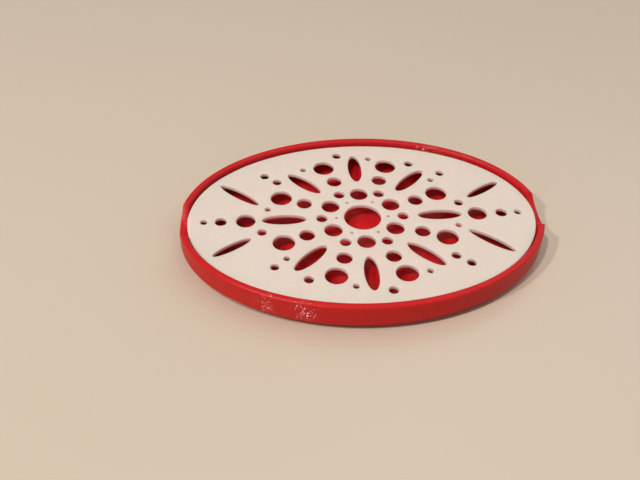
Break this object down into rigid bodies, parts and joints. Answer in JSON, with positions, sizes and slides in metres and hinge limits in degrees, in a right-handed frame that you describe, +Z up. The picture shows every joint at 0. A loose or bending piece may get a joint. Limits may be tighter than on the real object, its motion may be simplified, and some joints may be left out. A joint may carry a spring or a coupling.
{
  "type": "soap holder",
  "caption": "Low oval soap holder: a shallow tray with finger notches at its ends and a lift-out pierced plate that lets the soap drain.",
  "frame": {"origin": "centre of the tray's flat underside", "axes": "+Z up out of the tray, +X along the long axis through both finger notches, +Y across"},
  "size_m": [0.1256, 0.0874, 0.0104],
  "materials": {
    "red_plastic": "satin printed plastic with fine layer lines",
    "cream_plastic": "satin printed plastic, smooth top skin"
  },
  "bodies": {
    "tray": {"tray": "red_plastic"},
    "drain_plate": {"drain_plate": "cream_plastic"}
  },
  "joints": [
    {"name": "plate_lift", "type": "slide", "parent": "tray", "child": "drain_plate", "axis": [0, 0, 1], "range_m": [0, 0.03]}
  ]
}
